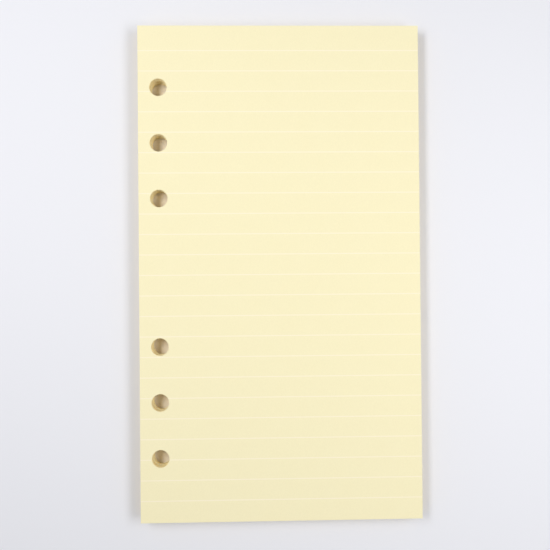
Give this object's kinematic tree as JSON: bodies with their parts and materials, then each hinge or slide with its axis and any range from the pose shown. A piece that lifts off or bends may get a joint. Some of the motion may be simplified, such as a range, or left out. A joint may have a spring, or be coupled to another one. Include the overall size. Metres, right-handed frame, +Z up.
{
  "type": "binder refill paper",
  "caption": "Flat pile of cream loose-leaf paper with white ruling on both faces, punched along one long edge with two groups of ring holes, to refill a small ring binder.",
  "frame": {"origin": "under the middle of the pile, on the surface that it lies on", "axes": "+X from the punched edge to the free edge, +Y to the head of the sheets, +Z up out of the pile's front face"},
  "size_m": [0.0968, 0.1703, 0.0054],
  "materials": {
    "paper": "uncoated cream paper, matt",
    "ruling": "printed off-white line, matt"
  },
  "bodies": {
    "root": {"sheets": "paper", "front_ruling": "ruling", "back_ruling": "ruling"}
  },
  "joints": []
}
